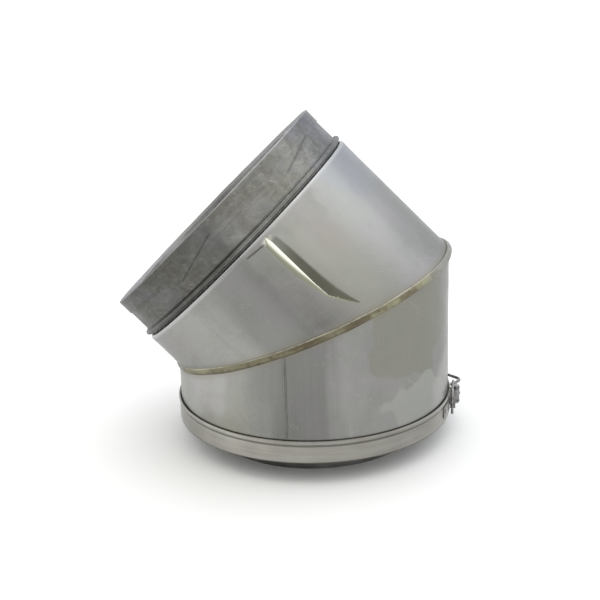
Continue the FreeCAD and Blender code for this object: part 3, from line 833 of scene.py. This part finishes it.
# --- the coupling collar -------------------------------------------------------------
def collar():
    sides = 480
    bead_turn = 1.75 * MM
    bead_out = 3.25 * MM
    bead_low = casing_end + 1.0 * MM
    bead_middle = (collar_radius + bead_out - bead_turn, bead_low + bead_turn)
    step_end = collar_end - rim_zone
    step_start = step_end - 1.0 * MM
    lip = 0.25 * MM
    outside = stretch((collar_radius, collar_start), (collar_radius, bead_low - 0.4 * MM), 8)
    foot = arc((collar_radius + 0.4 * MM, bead_low - 0.4 * MM), 0.4 * MM, 180, 90, 3)[1:]
    bead = arc(bead_middle, bead_turn, -90, 90, 10)
    neck = arc((collar_radius + 0.4 * MM, bead_low + 2 * bead_turn + 0.4 * MM), 0.4 * MM, 270, 180, 3)
    wall = stretch((collar_radius, bead_low + 2 * bead_turn + 0.6 * MM), (collar_radius, step_start), 12)
    rim_wall = stretch((rim_radius, step_end), (rim_radius, collar_end - lip), 10)
    edge = [(rim_radius - lip * 0.3, collar_end - lip * 0.3), (rim_radius - lip, collar_end),
            (rim_radius - sheet, collar_end - lip * 0.6)]
    inside = stretch((rim_radius - sheet, collar_end - 1 * MM), (rim_radius - sheet, step_end), 6)
    back = stretch((collar_radius - sheet, step_start), (collar_radius - sheet, collar_start), 10)

    def shift(angle, radius, along):
        free = blend_between(along, casing_end, collar_end)
        dents = 0.20 * MM * (1 + waves(angle, along, 12.0, 30 * MM)) * free
        past_casing = blend_between(along, casing_end, casing_end + 3 * MM)
        dents += 0.05 * MM * (1 + waves(angle, along, 17.0, 9 * MM)) * past_casing
        at_rim = blend_between(along, collar_end - 1.5 * MM, collar_end)
        chewed = 0.25 * MM * (1 + waves(angle, 0.0, 21.0, 14 * MM)) * at_rim
        return -dents, -chewed

    profile = outside + foot + bead + neck + wall + rim_wall + edge + inside + back
    piece = spun("collar_shell", "elbow", collar_steel(), profile, all_round(sides),
                 upper_frame, shift)
    inner = piece.data.attributes.new("inner_side", "FLOAT", "POINT")
    first_inside = len(profile) - len(inside) - len(back)
    for index in range(len(piece.data.vertices)):
        inner.data[index].value = float(index // sides >= first_inside)
    return piece


# --- the locking band's strap --------------------------------------------------------
def band_strap():
    """The strap: a flat strip, a shallow groove and a rolled upper edge, open at the latch."""
    outer = 101.2 * MM
    strap_sheet = 0.7 * MM
    flat_top = band_bottom + 12 * MM
    groove_middle = flat_top + 0.8 * MM
    roll_low = flat_top + 1.6 * MM
    roll_middle = (roll_low + band_top) / 2
    roll_half = (band_top - roll_low) / 2
    soft = 0.2 * MM
    gap_end = math.radians(4.2)
    gap_start = math.radians(1.2) + TURN
    angles = even(gap_end, gap_start, 420)
    low_edge = [(outer - strap_sheet, band_bottom + soft), (outer - strap_sheet + soft, band_bottom),
                (outer - soft, band_bottom), (outer, band_bottom + soft)]
    flat = stretch((outer, band_bottom + 1 * MM), (outer, flat_top - 0.3 * MM), 8)
    groove = [(outer - 0.02 * MM, flat_top), (outer - 0.13 * MM, groove_middle - 0.3 * MM),
              (outer - 0.15 * MM, groove_middle), (outer - 0.13 * MM, groove_middle + 0.3 * MM)]
    roll = []
    for turn in even(-90, 90, 12):
        angle = math.radians(turn)
        roll.append((outer + 0.7 * MM * math.cos(angle), roll_middle + roll_half * math.sin(angle)))
    back = [(outer - 0.5 * MM, band_top - 0.15 * MM), (outer - 0.8 * MM, band_top - 0.5 * MM),
            (outer - 0.85 * MM, roll_middle), (outer - 0.8 * MM, roll_low),
            (outer - 0.82 * MM, groove_middle), (outer - strap_sheet, flat_top)]
    inner = stretch((outer - strap_sheet, flat_top - 1 * MM), (outer - strap_sheet, band_bottom + 1 * MM), 4)

    def shift(angle, radius, along):
        return -0.06 * MM * (1 + waves(angle, along, 31.0, 26 * MM)), 0.0

    profile = low_edge + flat + groove + roll + back + inner
    return spun("band_strap_shell", "band", band_steel(), profile, angles,
                lower_frame, shift, closed=False)


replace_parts(upper_casing(), "outer_casing_upper")
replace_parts(lower_casing(), "outer_casing_lower")
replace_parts(mitre_bead(), "mitre_seam_bead")
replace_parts(collar(), "top_coupling_collar")
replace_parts(band_strap(), "locking_band_strap")

# --- finishes of the CAD nodes that stay ---------------------------------------------
finishes = {
    "lower_casing_seam": seam_steel("weld_line", lower_frame, -92, casing_radius),
    "inner_liner_seam": seam_steel("liner_weld_line", lower_frame, 35, liner_radius),
    "liner_mitre_weld": worn_steel("liner_weld", 0.30, 0.08),
    "top_closing_ring": liner_steel("ring_steel", upper_frame),
    "recess_closing_ring": liner_steel("recess_ring_steel", lower_frame),
    # A darker copy of the liner steel: painted shade for the spigot, which sits in shade below the band.
    "inner_liner_lower": liner_steel("liner_steel", lower_frame, 0.21),
    "inner_liner_upper": liner_steel("upper_liner_steel", upper_frame, 0.45),
    "insulation_lower": mineral_wool("mineral_wool", lower_frame),
    "insulation_upper": mineral_wool("upper_mineral_wool", upper_frame),
    "keeper_plate": worn_steel("latch_steel", 0.30, 0.02),
    "latch_bracket": worn_steel("bracket_steel", 0.30, 0.02),
    "keeper_rivets": worn_steel("rivet_steel", 0.38),
    "bracket_rivets": worn_steel("bracket_rivet_steel", 0.38),
    "lever_pivot_pin": worn_steel("pin_steel", 0.36),
    "over_centre_lever": worn_steel("latch_wire", 0.22, 0.03, 0.3),
    "draw_bail": worn_steel("bail_wire", 0.24, 0.03, 0.3),
}
for node, material in finishes.items():
    for place in frame["nodes"][node].material_slots:
        place.material = material


# --- stage ---------------------------------------------------------------------------
def pale_floor():
    nodes = Nodes("pale_floor")
    place = nodes.place(lower_frame)
    mottle = nodes.noise(place, 400.0, detail=2.0)
    colour = nodes.mix(mottle, grey(0.94), grey(0.97))
    half = 7.0
    mesh = bpy.data.meshes.new("floor")
    corners = [(-half, -half, 0), (half, -half, 0), (half, half, 0), (-half, half, 0)]
    mesh.from_pydata(corners, [], [(0, 1, 2, 3)])
    mesh.materials.append(nodes.finish(colour, 0.6, None, metallic=0.0))
    floor = bpy.data.objects.new("floor", mesh)
    bpy.context.scene.collection.objects.link(floor)


def softbox(name, place, aim, width, height, power, colour=(1, 1, 1)):
    lamp = bpy.data.lights.new(name, "AREA")
    lamp.shape = "RECTANGLE"
    lamp.size = width
    lamp.size_y = height
    lamp.energy = power
    lamp.color = colour
    holder = bpy.data.objects.new(name, lamp)
    holder.location = place
    holder.rotation_euler = (Vector(aim) - Vector(place)).to_track_quat("-Z", "Y").to_euler()
    bpy.context.scene.collection.objects.link(holder)


def studio_sky(dim_side):
    """Soft light from all round: dimmer on one side, brighter at the right and behind, and a
    little bluer there than elsewhere."""
    world = bpy.data.worlds.new("studio")
    world.use_nodes = True
    tree = world.node_tree
    direction = tree.nodes.new("ShaderNodeTexCoord").outputs["Generated"]

    def graded(axis, start, end, low_value, high_value):
        """A factor that changes smoothly with how far a direction leans along an axis."""
        lean = tree.nodes.new("ShaderNodeVectorMath")
        lean.operation = "DOT_PRODUCT"
        tree.links.new(direction, lean.inputs[0])
        lean.inputs[1].default_value = axis
        grade = tree.nodes.new("ShaderNodeMapRange")
        grade.interpolation_type = "SMOOTHSTEP"
        grade.inputs["From Min"].default_value = start
        grade.inputs["From Max"].default_value = end
        grade.inputs["To Min"].default_value = low_value
        grade.inputs["To Max"].default_value = high_value
        tree.links.new(lean.outputs["Value"], grade.inputs["Value"])
        return grade.outputs["Result"]

    shade = graded(dim_side, 0.6, 1.0, 1.21, 0.67)
    glow = graded(Vector((0.6, 0.6, 0.45)).normalized(), -0.2, 1.0, 0.9, 1.15)
    strength = tree.nodes.new("ShaderNodeMath")
    strength.operation = "MULTIPLY"
    tree.links.new(shade, strength.inputs[0])
    tree.links.new(glow, strength.inputs[1])
    bluer = graded(Vector((0.4, 0.8, 0.45)).normalized(), 0.3, 0.9, 0.0, 1.0)
    daylight = tree.nodes.new("ShaderNodeMix")
    daylight.data_type = "RGBA"
    daylight.inputs["A"].default_value = (1.0, 1.0, 0.965, 1)
    daylight.inputs["B"].default_value = (0.96, 0.98, 1.02, 1)
    tree.links.new(bluer, daylight.inputs["Factor"])
    background = tree.nodes["Background"]
    tree.links.new(daylight.outputs["Result"], background.inputs["Color"])
    tree.links.new(strength.outputs[0], background.inputs["Strength"])
    bpy.context.scene.world = world


def make_camera():
    """The camera, a little to the right of the front and above. Returns the way back to it."""
    azimuth = math.radians(10.1)
    elevation = math.radians(19.1)
    roll = math.radians(-1.5)
    distance = 1.055
    aim_right = -9.2 * MM
    aim_height = 100.5 * MM
    back = Vector((math.sin(azimuth) * math.cos(elevation), -math.cos(azimuth) * math.cos(elevation),
                   math.sin(elevation)))
    level = Vector((math.cos(azimuth), math.sin(azimuth), 0))
    upright = back.cross(level)
    right = level * math.cos(roll) + upright * math.sin(roll)
    top = upright * math.cos(roll) - level * math.sin(roll)
    place = right * aim_right + Vector((0, 0, aim_height)) + back * distance
    lens = bpy.data.cameras.new("camera")
    lens.lens = 85.8
    lens.sensor_width = 36.0
    holder = bpy.data.objects.new("camera", lens)
    holder.matrix_world = Matrix.Translation(place) @ Matrix((right, top, back)).transposed().to_4x4()
    bpy.context.scene.collection.objects.link(holder)
    bpy.context.scene.camera = holder
    return back


pale_floor()
towards_camera = make_camera()
left_of_camera = Vector((towards_camera.x - 0.3, towards_camera.y, -0.08)).normalized()
studio_sky(left_of_camera)
softbox("overhead", (0.0, 0.4, 2.4), (0.0, 0.1, 0.0), 2.2, 2.2, 7)
softbox("left_wall", (-2.0, 0.3, 1.1), (-0.7, 0.2, 0.0), 1.6, 1.4, 4)
softbox("right_wall", (2.0, 0.5, 1.2), (0.7, 0.1, 0.0), 1.6, 1.4, 3, (0.95, 0.97, 1.0))
bpy.context.scene.view_settings.view_transform = "Standard"
